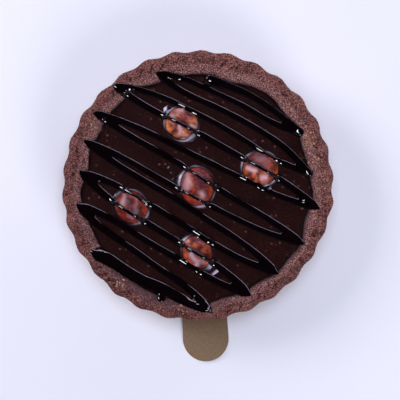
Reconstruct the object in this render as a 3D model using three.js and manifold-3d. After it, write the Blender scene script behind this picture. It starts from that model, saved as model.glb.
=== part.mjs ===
// A small round chocolate tart: a fluted cocoa crust filled with dark ganache, five glazed
// hazelnuts sunk into the filling, one zigzag line of chocolate drizzle over everything, and the
// gold card with a pull tab that the tart is stuck to.
// Millimetres, +Z up, origin at the centre of the card's underside, tab towards -Y.
import * as THREE from 'three';
import { mergeVertices } from 'three/addons/utils/BufferGeometryUtils.js';
import Module from 'manifold-3d';

const wasm = await Module();
wasm.setup();

// ---------------------------------------------------------------- driving dimensions

const gap = 0.3; // clearance between neighbouring pieces

// Crust, measured from its own underside.
const tartHeight = 20;
const lipRadius = 49.6; // mean of crests and valleys, at the widest point
const baseRadius = 44.4;
const fluteCount = 30;
const fluteSwell = 0.44; // a crest stands this far outside the mean radius
const fluteTurn = 4.4; // degrees from +X to the first crest
const crestJitter = 0.16; // uneven height of the crests
const stepsPerFlute = 6;
const bevelHeight = 1.2; // rounded corner between the base and the wall
const floorLevel = 4;
const floorRadius = 38.6;
const cragHeight = 0.2; // crumbly relief of the rim
const cragSeed = 1000;
const crestSeed = 1;

// Filling.
const fillingDrop = 2.4; // from the rim's top down to the filling
const fillingLevel = tartHeight - fillingDrop;
const fillingSteps = 90;
const edgeRadius = 42; // mean radius of the filling's edge

// Uneven outlines as waves round the tart: [waves in a turn, swell, degrees to the first crest].
const lipWaves = [
  [1, 0.09, 100],
  [2, 0.11, 36],
  [3, 0.06, -15],
  [4, 0.06, -10],
  [7, 0.07, -10],
  [9, 0.06, -7],
];
const edgeWaves = [
  [1, 0.92, -97],
  [4, 0.28, 44],
  [5, 0.36, -24],
  [8, 0.35, 3],
  [11, 0.28, -7],
  [12, 0.2, 2],
  [13, 0.18, -4],
  [17, 0.21, -6],
  [19, 0.22, -9],
];

// Section of the rim, from the filling's edge (0) to the lip (1): [share of the width, drop].
const rimSection = [
  [0, fillingDrop],
  [0.2, 1.35],
  [0.44, 0.45],
  [0.66, 0],
  [0.87, 0.25],
  [1, 1.3],
];

// Hazelnuts: place, size at the widest and turn of the long way. A crease, deep on one kernel,
// runs over the top along the long way.
const nuts = [
  { name: 'nut_1', x: -6, y: 22.9, length: 13.3, width: 12.2, turn: -35, crease: 0.16 },
  { name: 'nut_2', x: -0.2, y: -0.2, length: 15.1, width: 13.2, turn: 100, crease: 0.03 },
  { name: 'nut_3', x: 23.2, y: 6.4, length: 14.2, width: 13, turn: 10, crease: 0.03 },
  { name: 'nut_4', x: -24.6, y: -7.7, length: 13.6, width: 12, turn: -40, crease: 0.03 },
  { name: 'nut_5', x: -0.2, y: -24.6, length: 13.4, width: 11.5, turn: -65, crease: 0.06 },
];
const nutHalfHeight = 6.3;
const nutProud = 4.8; // a kernel's top above the filling
const nutCentreLevel = fillingLevel + nutProud - nutHalfHeight;
const nutWrinkle = 0.02;
const wrinklesAlong = 5;
const wrinklesAcross = 6;
const creaseHalfWidth = 0.25; // against the kernel's half width
const nutDetail = 3; // splits of each edge of an icosahedron
const pocketDetail = 2;
const pocketGap = 0.45; // the pocket's flats pass closer to the kernel than its corners
const columnSides = 14;

// Drizzle: the points where the line turns back, each with the stroke that leaves it: how far the
// stroke bows to its left, how far it twists (left in its first half, right in its second) and
// how wide it is against the usual line.
const turns = [
  { x: 4.2, y: 39.2, bow: 2.8, twist: 0.05, wide: 0.93 },
  { x: 37.4, y: 19.8, bow: -1.6, twist: 1, wide: 0.85 },
  { x: -15, y: 41.5, bow: 2.75, twist: -1.6, wide: 0.9 },
  { x: 40.9, y: 4.6, bow: -2.9, twist: 1.5, wide: 0.85 },
  { x: -30.9, y: 37.1, bow: 1.3, twist: -1, wide: 1.03 },
  { x: 44.3, y: -8.2, bow: 0.15, twist: 1.2, wide: 0.9 },
  { x: -37.9, y: 27, bow: 0.6, twist: -0.35, wide: 0.97 },
  { x: 38.8, y: -21.3, bow: 1.6, twist: 1.1, wide: 0.9 },
  { x: -41.4, y: 16.5, bow: 1.35, twist: -1, wide: 0.95 },
  { x: 29.2, y: -32.1, bow: 0, twist: 1.5, wide: 1 },
  { x: -43, y: 5.1, bow: -0.3, twist: -1.6, wide: 1.05 },
  { x: 19.1, y: -40.1, bow: 0.5, twist: 1, wide: 1 },
  { x: -44.1, y: -6.9, bow: -0.1, twist: -1.1, wide: 1 },
  { x: 4.7, y: -46.1, bow: 1.1, twist: 0.1, wide: 0.97 },
  { x: -38.6, y: -24.2 },
];
const turnHook = 0.3; // every stroke but the first swings a little wide before each turn
const fineStep = 3.6; // near the turns and over the nuts
const openEvery = 4; // along the open stretches one fine step in so many is kept
const turnFineReach = 7;
const nutFineReach = 1.25; // against a nut's own half width
const lineHalfWidth = 1.4; // at the sunk edges, so about 1.2 where the line meets the surface
const lineHeight = 1.05;
const lineSink = 0.5; // how far the line's edges run into what it lies on
const smallShare = 0.01; // of a stroke, to find the way it runs
const lineFlat = 0.5; // half width of the line's top against that of its edges
const nutLineShare = 0.6; // the line thins where it runs over a nut
const poolSwell = 0.3; // the line is wider near a turn, so two strokes flow together
const poolReach = 10;
const tipReach = 2.6; // and it ends in a point at the turn itself
const tipShare = 0.45;
const bluntTurns = [1, 3]; // turns whose end is blunt instead
const bluntTipShare = 0.85;
const firstBlobSwell = 0.4; // where the line starts
const lastStrokeSwell = 0.7; // where the line runs out, thick
const lastStrokeThickens = [0.05, 0.35]; // shares of the last stroke between which it does so
const drop = { x: -13.4, y: -41.2, radius: 1.7 }; // fell beside the line

// Card.
const cardThickness = 1.2;
const cardRadius = 40;
const tabTurn = 3; // degrees that the tab leans from -Y towards +X
const tabReach = 66.7; // from the tart's centre to the tab's end
const tabEndRadius = 8.7;
const tabNeckHalfWidth = 8.3;
const tabFillet = 2.5;
const cardCurveSteps = 24;

// ---------------------------------------------------------------- small helpers

const radians = THREE.MathUtils.degToRad;

// Sum of waves round the tart at an angle.
function waveSum(waves, angle) {
  return waves.reduce(
    (sum, [count, swell, crest]) => sum + swell * Math.cos(count * (angle - radians(crest))),
    0,
  );
}

// A repeatable uneven value between -1 and 1 for a numbered place.
function unevenAt(place) {
  return 2 * THREE.MathUtils.seededRandom(place) - 1;
}

// A closed skin through equal rings of points, each ring turning anticlockwise about the way
// from the first ring to the last, with a fan of triangles over both ends.
function closedSkin(rings) {
  const size = rings[0].length;
  const points = rings.flat();
  const triangles = [];
  for (let ring = 0; ring < rings.length - 1; ring++) {
    for (let i = 0; i < size; i++) {
      const next = (i + 1) % size;
      const here = ring * size;
      const there = here + size;
      triangles.push(here + i, here + next, there + next);
      triangles.push(here + i, there + next, there + i);
    }
  }
  const firstCentre = points.length;
  const lastCentre = firstCentre + 1;
  const lastStart = (rings.length - 1) * size;
  points.push(centreOf(rings[0]), centreOf(rings[rings.length - 1]));
  for (let i = 0; i < size; i++) {
    const next = (i + 1) % size;
    triangles.push(firstCentre, next, i);
    triangles.push(lastCentre, lastStart + i, lastStart + next);
  }
  const geometry = new THREE.BufferGeometry().setFromPoints(points);
  return geometry.setIndex(triangles);
}

function centreOf(ring) {
  const sum = ring.reduce((total, point) => total.add(point), new THREE.Vector3());
  return sum.divideScalar(ring.length);
}

// A ring round the tart's axis, from functions of the angle.
function ringAround(steps, radiusAt, levelAt) {
  return Array.from({ length: steps }, (_, i) => {
    const angle = (2 * Math.PI * i) / steps + radians(fluteTurn);
    const radius = radiusAt(angle, i);
    return new THREE.Vector3(
      radius * Math.cos(angle),
      radius * Math.sin(angle),
      levelAt(angle, i),
    );
  });
}

function solidFrom(geometry) {
  const bare = geometry.clone();
  bare.deleteAttribute('normal');
  bare.deleteAttribute('uv');
  const merged = mergeVertices(bare, 1e-4);
  return new wasm.Manifold(
    new wasm.Mesh({
      numProp: 3,
      vertProperties: new Float32Array(merged.attributes.position.array),
      triVerts: new Uint32Array(merged.index.array),
    }),
  );
}

// The largest body of a solid as a geometry, without the crumbs that a cut can leave.
function geometryFrom(solid) {
  const bodies = solid.decompose();
  bodies.sort((a, b) => b.volume() - a.volume());
  const mesh = bodies[0].getMesh();
  const geometry = new THREE.BufferGeometry();
  geometry.setAttribute('position', new THREE.BufferAttribute(mesh.vertProperties, 3));
  geometry.setIndex(new THREE.BufferAttribute(mesh.triVerts, 1));
  geometry.computeVertexNormals();
  return geometry;
}

// ---------------------------------------------------------------- outlines and surface

function lipRadiusAt(angle) {
  const flute = (fluteCount * (angle - radians(fluteTurn))) / (2 * Math.PI);
  const crest = 0.5 + 0.5 * Math.cos(2 * Math.PI * flute);
  const nearest = (Math.round(flute) + fluteCount) % fluteCount;
  const jitter = crestJitter * unevenAt(crestSeed + nearest);
  const wave = fluteSwell * Math.cos(2 * Math.PI * flute);
  return lipRadius + wave + crest * jitter + waveSum(lipWaves, angle);
}

function baseRadiusAt(angle) {
  return baseRadius + lipRadiusAt(angle) - lipRadius;
}

function edgeRadiusAt(angle) {
  return edgeRadius + waveSum(edgeWaves, angle);
}

// Drop of the rim's section at a share of its width.
function rimDrop(share) {
  const last = rimSection.findIndex(([at]) => at >= Math.min(share, 1));
  if (last <= 0) return fillingDrop;
  const [from, dropFrom] = rimSection[last - 1];
  const [to, dropTo] = rimSection[last];
  return THREE.MathUtils.mapLinear(Math.min(share, 1), from, to, dropFrom, dropTo);
}

// How far inside a nut's footprint a place is: 0 at its centre, 1 on its widest outline.
function nutShareAt(nut, x, y) {
  const turn = radians(nut.turn);
  const along = (x - nut.x) * Math.cos(turn) + (y - nut.y) * Math.sin(turn);
  const across = (y - nut.y) * Math.cos(turn) - (x - nut.x) * Math.sin(turn);
  return Math.hypot((2 * along) / nut.length, (2 * across) / nut.width);
}

function nutTopAt(nut, x, y) {
  const share = nutShareAt(nut, x, y);
  return share < 1 ? nutCentreLevel + nutHalfHeight * Math.sqrt(1 - share * share) : 0;
}

// Height of what the drizzle lies on: the filling, the rim or a nut.
function surfaceAt(x, y) {
  const angle = Math.atan2(y, x);
  const edge = edgeRadiusAt(angle);
  const share = (Math.hypot(x, y) - edge) / (lipRadiusAt(angle) - edge);
  const ground = share <= 0 ? fillingLevel : tartHeight - rimDrop(share);
  return Math.max(ground, ...nuts.map((nut) => nutTopAt(nut, x, y)));
}

// ---------------------------------------------------------------- crust

// A cup: up the fluted wall, over the crumbly rim and down the inside to the floor.
function makeCrustShell() {
  const steps = fluteCount * stepsPerFlute;
  const level = (height) => () => height;
  const rings = [
    ringAround(steps, (angle) => baseRadiusAt(angle) - bevelHeight, level(0)),
    ringAround(steps, baseRadiusAt, level(bevelHeight)),
  ];
  const fromLip = [...rimSection].reverse();
  fromLip.forEach(([share, drop], row) => {
    const height = share > 0 && share < 1 ? cragHeight : 0;
    const crag = (i) => height * unevenAt(cragSeed + row * steps + i);
    rings.push(
      ringAround(
        steps,
        (angle) => THREE.MathUtils.lerp(edgeRadiusAt(angle), lipRadiusAt(angle), share),
        (angle, i) => tartHeight - drop + crag(i),
      ),
    );
  });
  rings.push(ringAround(steps, () => floorRadius, level(floorLevel)));
  return solidFrom(closedSkin(rings));
}

// ---------------------------------------------------------------- filling

function makeFillingBody() {
  const level = (height) => () => height;
  return solidFrom(
    closedSkin([
      ringAround(fillingSteps, () => floorRadius - gap, level(floorLevel + gap)),
      ringAround(fillingSteps, (angle) => edgeRadiusAt(angle) - gap, level(fillingLevel)),
    ]),
  );
}

// An upright column over the filling's outline, moved in by an inset.
function fillingColumn(inset) {
  const radius = (angle) => edgeRadiusAt(angle) - inset;
  const top = 2 * tartHeight;
  return solidFrom(
    closedSkin([
      ringAround(fillingSteps, radius, () => 0),
      ringAround(fillingSteps, radius, () => top),
    ]),
  );
}

// ---------------------------------------------------------------- hazelnuts

// A kernel, grown by an allowance all round. Its surface is a ball with shallow wrinkles and a
// crease over its top.
function makeNutBody(nut, allowance, detail) {
  const geometry = new THREE.IcosahedronGeometry(1, detail);
  const position = geometry.attributes.position;
  const point = new THREE.Vector3();
  for (let i = 0; i < position.count; i++) {
    point.fromBufferAttribute(position, i);
    const wrinkle =
      Math.sin(wrinklesAlong * point.x + nut.x) * Math.cos(wrinklesAcross * point.y + nut.y);
    const crease = Math.exp(-((point.y / creaseHalfWidth) ** 2)) * Math.max(0, point.z);
    const shape = 1 + nutWrinkle * wrinkle - nut.crease * crease;
    point.multiply(
      new THREE.Vector3(
        (shape * nut.length) / 2 + allowance,
        (shape * nut.width) / 2 + allowance,
        shape * nutHalfHeight + allowance,
      ),
    );
    position.setXYZ(i, point.x, point.y, point.z);
  }
  geometry.rotateZ(radians(nut.turn));
  geometry.translate(nut.x, nut.y, nutCentreLevel);
  return solidFrom(geometry);
}

// An upright column over a nut's outline at the filling's surface.
function nutColumn(nut, allowance) {
  const rise = (fillingLevel - nutCentreLevel) / nutHalfHeight;
  const shrink = Math.sqrt(1 - rise * rise);
  const column = new THREE.CylinderGeometry(1, 1, tartHeight, columnSides);
  column.rotateX(Math.PI / 2);
  column.scale(
    (shrink * nut.length) / 2 + allowance,
    (shrink * nut.width) / 2 + allowance,
    1,
  );
  column.rotateZ(radians(nut.turn));
  column.translate(nut.x, nut.y, fillingLevel);
  return solidFrom(column);
}

// ---------------------------------------------------------------- drizzle

function strokePoint(start, end, share) {
  const along = new THREE.Vector2(end.x - start.x, end.y - start.y);
  const left = new THREE.Vector2(-along.y, along.x).normalize();
  const usualHook = end.x > start.x ? -turnHook : turnHook;
  const hook = start === turns[0] ? 0 : usualHook;
  const sideways =
    start.bow * Math.sin(Math.PI * share) +
    start.twist * Math.sin(2 * Math.PI * share) +
    hook * Math.sin(4 * Math.PI * share);
  return new THREE.Vector2(start.x, start.y)
    .addScaledVector(along, share)
    .addScaledVector(left, sideways);
}

// Width of the line against its usual one, at a share of a stroke.
function lineSwell(index, share, length) {
  const fromEnd = Math.min(share, 1 - share) * length;
  let swell = 1 + poolSwell * Math.exp(-((fromEnd / poolReach) ** 2));
  if (index === 0) swell += firstBlobSwell * Math.exp((-share * length) / poolReach);
  if (index === turns.length - 2) {
    swell += lastStrokeSwell * THREE.MathUtils.smoothstep(share, ...lastStrokeThickens);
  }
  const turn = share < 0.5 ? index : index + 1;
  if (turn === 0) return swell;
  const tip = bluntTurns.includes(turn) ? bluntTipShare : tipShare;
  return swell * Math.min(1, tip + ((1 - tip) * fromEnd) / tipReach);
}

// Shares of a stroke at which its section is placed, close together where its shape changes.
function strokeShares(start, end, length) {
  const steps = Math.ceil(length / fineStep);
  const shares = [];
  for (let i = 0; i <= steps; i++) {
    const middle = strokePoint(start, end, i / steps);
    const nearTurn = Math.min(i, steps - i) * fineStep < turnFineReach;
    const nearNut = nuts.some((nut) => nutShareAt(nut, middle.x, middle.y) < nutFineReach);
    if (nearTurn || nearNut || i % openEvery === 0) shares.push(i / steps);
  }
  return shares;
}

// One stroke of the line as a low flat-topped band, draped over what it lies on.
function makeStroke(index) {
  const start = turns[index];
  const end = turns[index + 1];
  const length = Math.hypot(end.x - start.x, end.y - start.y);
  const section = [
    [1, false],
    [lineFlat, true],
    [-lineFlat, true],
    [-1, false],
  ];
  const rings = [];
  for (const share of strokeShares(start, end, length)) {
    const middle = strokePoint(start, end, share);
    const onNut = nuts.some((nut) => nutShareAt(nut, middle.x, middle.y) < 1);
    const size = start.wide * lineSwell(index, share, length) * (onNut ? nutLineShare : 1);
    const ahead = strokePoint(start, end, share + smallShare);
    const left = new THREE.Vector2(middle.y - ahead.y, ahead.x - middle.x).normalize();
    rings.push(
      section.map(([across, raised]) => {
        const place = middle.clone().addScaledVector(left, across * size * lineHalfWidth);
        const height = raised ? size * lineHeight : -lineSink;
        return new THREE.Vector3(place.x, place.y, surfaceAt(place.x, place.y) + height);
      }),
    );
  }
  return solidFrom(closedSkin(rings));
}

function makeDrop() {
  const dome = new THREE.IcosahedronGeometry(1, 1);
  dome.scale(drop.radius, drop.radius, lineHeight);
  dome.translate(drop.x, drop.y, surfaceAt(drop.x, drop.y));
  return solidFrom(dome);
}

function makeDrizzle() {
  const strokes = turns.slice(1).map((_, index) => makeStroke(index));
  return strokes.reduce((line, stroke) => line.add(stroke), makeDrop());
}

// ---------------------------------------------------------------- card

// A disc with a long tab that ends in a half circle and widens a little outwards.
function makeCard() {
  const endCentre = -(tabReach - tabEndRadius);
  const neckTop = -Math.sqrt(cardRadius ** 2 - (tabNeckHalfWidth + tabFillet) ** 2);
  const neckBottom = neckTop - tabFillet;
  const neckAngle = Math.atan2(neckTop, tabNeckHalfWidth + tabFillet);
  const shape = new THREE.Shape();
  shape.absarc(0, 0, cardRadius, neckAngle, Math.PI - neckAngle, false);
  shape.quadraticCurveTo(-tabNeckHalfWidth, neckTop, -tabNeckHalfWidth, neckBottom);
  shape.absarc(0, endCentre, tabEndRadius, Math.PI, 2 * Math.PI, false);
  shape.lineTo(tabNeckHalfWidth, neckBottom);
  shape.quadraticCurveTo(
    tabNeckHalfWidth,
    neckTop,
    tabNeckHalfWidth + tabFillet,
    neckTop,
  );
  return new THREE.ExtrudeGeometry(shape, {
    depth: cardThickness,
    bevelEnabled: false,
    curveSegments: cardCurveSteps,
  });
}

// ---------------------------------------------------------------- materials

function crustMaterial() {
  return new THREE.MeshStandardMaterial({ color: 0x68464a, roughness: 0.85, metalness: 0 });
}

function fillingMaterial() {
  return new THREE.MeshStandardMaterial({ color: 0x26100f, roughness: 0.22, metalness: 0 });
}

function nutMaterial() {
  return new THREE.MeshStandardMaterial({ color: 0x8f3a1c, roughness: 0.18, metalness: 0 });
}

function goldCardMaterial() {
  return new THREE.MeshStandardMaterial({ color: 0x85704f, roughness: 0.4, metalness: 0.8 });
}

// ---------------------------------------------------------------- assembly

function namedMesh(name, geometry, material) {
  const mesh = new THREE.Mesh(geometry, material);
  mesh.name = name;
  return mesh;
}

const drizzle = makeDrizzle();

function makeCrustMesh() {
  const onRim = drizzle.subtract(fillingColumn(0));
  const solid = makeCrustShell().add(onRim);
  return namedMesh('crust', geometryFrom(solid), crustMaterial());
}

function makeFillingMesh() {
  let solid = makeFillingBody().add(drizzle.intersect(fillingColumn(gap)));
  for (const nut of nuts) {
    solid = solid.subtract(makeNutBody(nut, pocketGap, pocketDetail).add(nutColumn(nut, gap)));
  }
  return namedMesh('filling', geometryFrom(solid), fillingMaterial());
}

function makeNutMesh(nut) {
  const onNut = drizzle.intersect(nutColumn(nut, 0));
  const solid = makeNutBody(nut, 0, nutDetail).add(onNut);
  return namedMesh(nut.name, geometryFrom(solid), nutMaterial());
}

const tart = new THREE.Group();
tart.position.z = cardThickness + gap;
tart.add(makeCrustMesh(), makeFillingMesh(), ...nuts.map(makeNutMesh));

const card = namedMesh('pull_tab_card', makeCard(), goldCardMaterial());
card.rotation.z = radians(tabTurn);

const object = new THREE.Group();
object.add(card, tart);

export default object;
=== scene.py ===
"""The looks of a small round chocolate tart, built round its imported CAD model.

Lengths are in millimetres in the tart's own coordinates (z is 0 at the tart's underside), and
become metres in the shared frame where each mesh is made.
"""

import math

import bpy
import bmesh
import numpy as np
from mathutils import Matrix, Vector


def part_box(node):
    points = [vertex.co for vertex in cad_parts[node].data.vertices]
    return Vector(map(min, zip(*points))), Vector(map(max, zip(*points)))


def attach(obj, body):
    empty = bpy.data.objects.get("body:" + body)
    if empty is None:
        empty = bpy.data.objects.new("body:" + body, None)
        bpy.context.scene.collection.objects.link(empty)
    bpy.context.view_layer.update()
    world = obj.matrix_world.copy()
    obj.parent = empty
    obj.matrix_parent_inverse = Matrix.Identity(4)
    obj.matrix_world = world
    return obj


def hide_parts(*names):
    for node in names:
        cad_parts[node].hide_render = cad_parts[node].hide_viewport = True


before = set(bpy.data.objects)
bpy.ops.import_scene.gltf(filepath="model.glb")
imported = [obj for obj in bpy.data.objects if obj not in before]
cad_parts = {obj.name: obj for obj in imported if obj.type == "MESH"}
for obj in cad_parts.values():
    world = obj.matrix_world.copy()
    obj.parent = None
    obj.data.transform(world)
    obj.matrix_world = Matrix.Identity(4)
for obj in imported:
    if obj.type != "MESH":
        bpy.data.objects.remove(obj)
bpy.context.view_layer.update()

MM = 0.001
TAU = 2 * math.pi
TART_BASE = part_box("crust")[0].z / MM  # height of the tart's underside above the floor
BODY = "root"

# ---- driving dimensions

GAP = 0.3
TART_HEIGHT = 20
LIP_RADIUS = 49.6
BASE_RADIUS = 44.4
FLUTES = 30
FLUTE_SWELL = 0.44
FLUTE_TURN = math.radians(4.4)
CREST_JITTER = 0.16
CREST_SEED = 1
BEVEL = 1.2
FLOOR_LEVEL = 4
FLOOR_RADIUS = 38.6
FILLING_DROP = 2.4
FILLING_LEVEL = TART_HEIGHT - FILLING_DROP
EDGE_RADIUS = 42

# Uneven outlines as waves round the tart: waves in a turn, swell, degrees to the first crest.
LIP_WAVES = [
    (1, 0.09, 100), (2, 0.11, 36), (3, 0.06, -15), (4, 0.06, -10), (7, 0.07, -10), (9, 0.06, -7),
]
EDGE_WAVES = [
    (1, 0.92, -97), (4, 0.28, 44), (5, 0.36, -24), (8, 0.35, 3), (11, 0.28, -7), (12, 0.2, 2),
    (13, 0.18, -4), (17, 0.21, -6), (19, 0.22, -9),
]

# Section of the rim, from the filling's edge (0) to the lip (1): share of the width, drop.
RIM_SECTION = [(0, FILLING_DROP), (0.2, 1.35), (0.44, 0.45), (0.66, 0), (0.87, 0.25), (1, 1.3)]

# Hazelnuts: place, length, width, turn of the long way in degrees, depth of the long crease.
NUTS = {
    "nut_1": (-6, 22.9, 13.3, 12.2, -35, 0.16),
    "nut_2": (-0.2, -0.2, 15.1, 13.2, 100, 0.03),
    "nut_3": (23.2, 6.4, 14.2, 13, 10, 0.03),
    "nut_4": (-24.6, -7.7, 13.6, 12, -40, 0.03),
    "nut_5": (-0.2, -24.6, 13.4, 11.5, -65, 0.06),
}
NUT_HALF_HEIGHT = 6.3
NUT_PROUD = 4.8
NUT_CENTRE_LEVEL = FILLING_LEVEL + NUT_PROUD - NUT_HALF_HEIGHT

GLAZE_CLIMB = 0.5
GLAZE_REACH = 0.85

# Drizzle: where the line turns back, how far the stroke that leaves it bows and twists, and how
# wide it is against the usual line.
TURNS = [
    (4.2, 39.2, 2.8, 0.05, 0.93), (37.4, 19.8, -1.6, 1, 0.85), (-15, 41.5, 2.75, -1.6, 0.9),
    (40.9, 4.6, -2.9, 1.5, 0.85), (-30.9, 37.1, 1.3, -1, 1.03), (44.3, -8.2, 0.15, 1.2, 0.9),
    (-37.9, 27, 0.6, -0.35, 0.97), (38.8, -21.3, 1.6, 1.1, 0.9), (-41.4, 16.5, 1.35, -1, 0.95),
    (29.2, -32.1, 0, 1.5, 1), (-43, 5.1, -0.3, -1.6, 1.05), (19.1, -40.1, 0.5, 1, 1),
    (-44.1, -6.9, -0.1, -1.1, 1), (4.7, -46.1, 1.1, 0.1, 0.97), (-38.6, -24.2, 0, 0, 1),
]
TURN_HOOK = 0.3
LINE_HALF_WIDTH = 1.38
LINE_HEIGHT = 0.7
NUT_LINE_SHARE = 0.46
POOL_SWELL = 0.22
POOL_REACH = 10
TIP_REACH = 2.6
TIP_SHARE = 0.45
BLUNT_TURNS = (1, 3)
BLUNT_TIP_SHARE = 1.1
FIRST_BLOB_SWELL = 0.4
LAST_STROKE_SWELL = 0.7
LAST_STROKE_THICKENS = (0.05, 0.35)
DROPS = [(-13.4, -41.2, 1.7)]  # places and radii of drops that fell beside the line

# Beads that the line ends in or catches the light with: place, radius, height.
BEADS = [
    (37.2, 18.9, 1.2, 0.62), (41.1, 3.6, 1.2, 0.62), (39.7, -6.1, 0.9, 0.6),
    (-35.2, 24.9, 1.2, 0.6), (-37, 1.6, 0.8, 0.55), (-26.9, 34.6, 1.1, 0.65),
    (-7.5, 39.1, 0.8, 0.45), (3.7, 39.3, 1.2, 0.6), (-1, -41.3, 0.8, 0.45),
    (4.2, -46, 0.9, 0.5), (-37.5, -24.2, 1, 0.5),
]
SETTLE = 0.55  # how much of the corner under the rim the pools of the line fill
SETTLE_REACH = 0.16


# ---- numbers

def smoothstep(low, high, value):
    t = np.clip((value - low) / (high - low), 0, 1)
    return t * t * (3 - 2 * t)


def mix(a, b, share):
    return a + (b - a) * share


def bent(t, start, corner, end):
    """A smooth bend from start (0) to end (1) that a corner pulls at."""
    return (1 - t)**2 * start + 2 * t * (1 - t) * corner + t * t * end


def bell(away):
    """A soft spot: 1 in its middle, and near 0 at twice its half width."""
    return np.exp(-(away**2))


def sector(angle, middle, half_width):
    """A soft spot in the angles round an axis, from its middle and half width in degrees."""
    away = (angle - math.radians(middle) + math.pi) % TAU - math.pi
    return bell(np.degrees(away) / half_width)


def turned(x, y, angle):
    """Places turned anticlockwise by an angle."""
    c, s = math.cos(angle), math.sin(angle)
    return x * c - y * s, x * s + y * c


def spun(points, angle):
    """Points turned anticlockwise round an upright axis."""
    return np.stack([*turned(points[:, 0], points[:, 1], angle), points[:, 2]], -1)


def full_turn(steps):
    return TAU * np.arange(steps) / steps


def on_ring(radius, angle, level):
    """Points at angles round an upright axis."""
    return np.stack([radius * np.cos(angle), radius * np.sin(angle), level + 0 * angle], -1)


def seeded_random(seed):
    """The value between 0 and 1 that three.js draws for a seed, so that the crests match the CAD."""
    full = 0xFFFFFFFF
    t = (seed + 0x6D2B79F5) & full
    t = (t ^ t >> 15) * (t | 1) & full
    t ^= (t + ((t ^ t >> 7) * (t | 61) & full)) & full
    return (t ^ t >> 14) / 2**32


def cell_random(cells, seed):
    """A repeatable value from 0 to 1 for each whole-number cell."""
    n = cells.astype(np.int64).astype(np.uint64)
    mixed = n[..., 0] * 73856093 ^ n[..., 1] * 19349663 ^ n[..., 2] * 83492791
    mixed = mixed ^ seed * 2654435761 % 2**32
    mixed = (mixed ^ mixed >> 15) * 2246822519
    mixed = (mixed ^ mixed >> 13) * 3266489917
    return (mixed >> 20 & 0xFFFFFF) / 0xFFFFFF


def smooth_noise(points, size, seed):
    """Smooth noise from -1 to 1 with lumps of a size."""
    at = np.asarray(points, float) / size
    cell = np.floor(at)
    t = at - cell
    t = t * t * (3 - 2 * t)
    total = 0
    for corner in np.ndindex(2, 2, 2):
        weight = np.prod(np.where(np.array(corner) == 1, t, 1 - t), axis=-1)
        total = total + weight * cell_random(cell + np.array(corner), seed)
    return 2 * total - 1


def rough_noise(points, size, seed, octaves=3):
    """Noise from about -1 to 1, with finer lumps on the larger ones."""
    layers = [smooth_noise(points, size / 2**i, seed + i) / 2**i for i in range(octaves)]
    return sum(layers) / sum(0.5**i for i in range(octaves))


def grains(points, size, seed):
    """Distance to the nearest of a scatter of grain centres, against size, and that grain's draw."""
    at = np.asarray(points, float) / size
    cell = np.floor(at)
    nearest = np.full(at.shape[:-1], 9.0)
    draw = np.zeros(at.shape[:-1])
    for step in np.ndindex(3, 3, 3):
        other = cell + np.array(step) - 1
        centre = other + np.stack([cell_random(other, seed + axis) for axis in range(3)], -1)
        distance = np.linalg.norm(at - centre, axis=-1)
        closer = distance < nearest
        nearest = np.where(closer, distance, nearest)
        draw = np.where(closer, cell_random(other, seed + 3), draw)
    return nearest, draw


# ---- outlines and surface

CREST_DRAWS = np.array([2 * seeded_random(CREST_SEED + i) - 1 for i in range(FLUTES)])


def wave_sum(waves, angle):
    return sum(swell * np.cos(n * (angle - math.radians(crest))) for n, swell, crest in waves)


def lip_radius_at(angle):
    flute = FLUTES * (angle - FLUTE_TURN) / TAU
    wave = np.cos(TAU * flute)
    jitter = CREST_JITTER * CREST_DRAWS[np.round(flute).astype(int) % FLUTES]
    crest = 0.5 + 0.5 * wave
    return LIP_RADIUS + FLUTE_SWELL * wave + crest * jitter + wave_sum(LIP_WAVES, angle)


def base_radius_at(angle):
    return BASE_RADIUS + lip_radius_at(angle) - LIP_RADIUS


def edge_radius_at(angle):
    return EDGE_RADIUS + wave_sum(EDGE_WAVES, angle)


def rounded_section(points, rounding=0.09, samples=400):
    """Shares and drops of a section whose corners are rounded."""
    shares = np.linspace(0, 1, samples + 1)
    drops = np.interp(shares, *zip(*points))
    half = int(rounding * samples)
    kernel = np.hanning(2 * half + 1)
    first, last = drops[:half][::-1], drops[-half:][::-1]
    padded = np.concatenate([2 * drops[0] - first, drops, 2 * drops[-1] - last])
    return shares, np.convolve(padded, kernel / kernel.sum(), "valid")


RIM_SHARES, RIM_DROPS = rounded_section(RIM_SECTION)


def rim_drop(share):
    return np.interp(share, RIM_SHARES, RIM_DROPS)


def nut_share(nut, x, y):
    """0 at a nut's centre and 1 on its widest outline, seen from above."""
    nut_x, nut_y, length, width, turn, _ = NUTS[nut]
    along, across = turned(x - nut_x, y - nut_y, -math.radians(turn))
    return np.hypot(2 * along / length, 2 * across / width)


def nut_top(nut, x, y):
    share = nut_share(nut, x, y)
    dome = NUT_HALF_HEIGHT * np.sqrt(np.clip(1 - share**2, 0, 1))
    return np.where(share < 1, NUT_CENTRE_LEVEL + dome, 0)


def rim_share(x, y):
    """0 at the filling's edge and 1 at the lip, seen from above."""
    angle = np.arctan2(y, x)
    edge = edge_radius_at(angle)
    return (np.hypot(x, y) - edge) / (lip_radius_at(angle) - edge)


def bare_ground_at(x, y):
    """Height of the filling or the rim."""
    share = rim_share(x, y)
    rim = TART_HEIGHT - rim_drop(np.clip(share, 0, 1))
    return np.where(share <= 0, FILLING_LEVEL, rim)


def ground_at(x, y):
    """Height of what the drizzle lies on: the filling, the rim or a nut."""
    return np.maximum.reduce([bare_ground_at(x, y)] + [nut_top(nut, x, y) for nut in NUTS])


def from_segment(x, y, a, b):
    """Where from a (0) to b (1) is nearest to each place, and how far off it is in plan."""
    way_x, way_y = b[0] - a[0], b[1] - a[1]
    t = np.clip(((x - a[0]) * way_x + (y - a[1]) * way_y) / (way_x**2 + way_y**2), 0, 1)
    return t, np.hypot(x - a[0] - t * way_x, y - a[1] - t * way_y)


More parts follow.
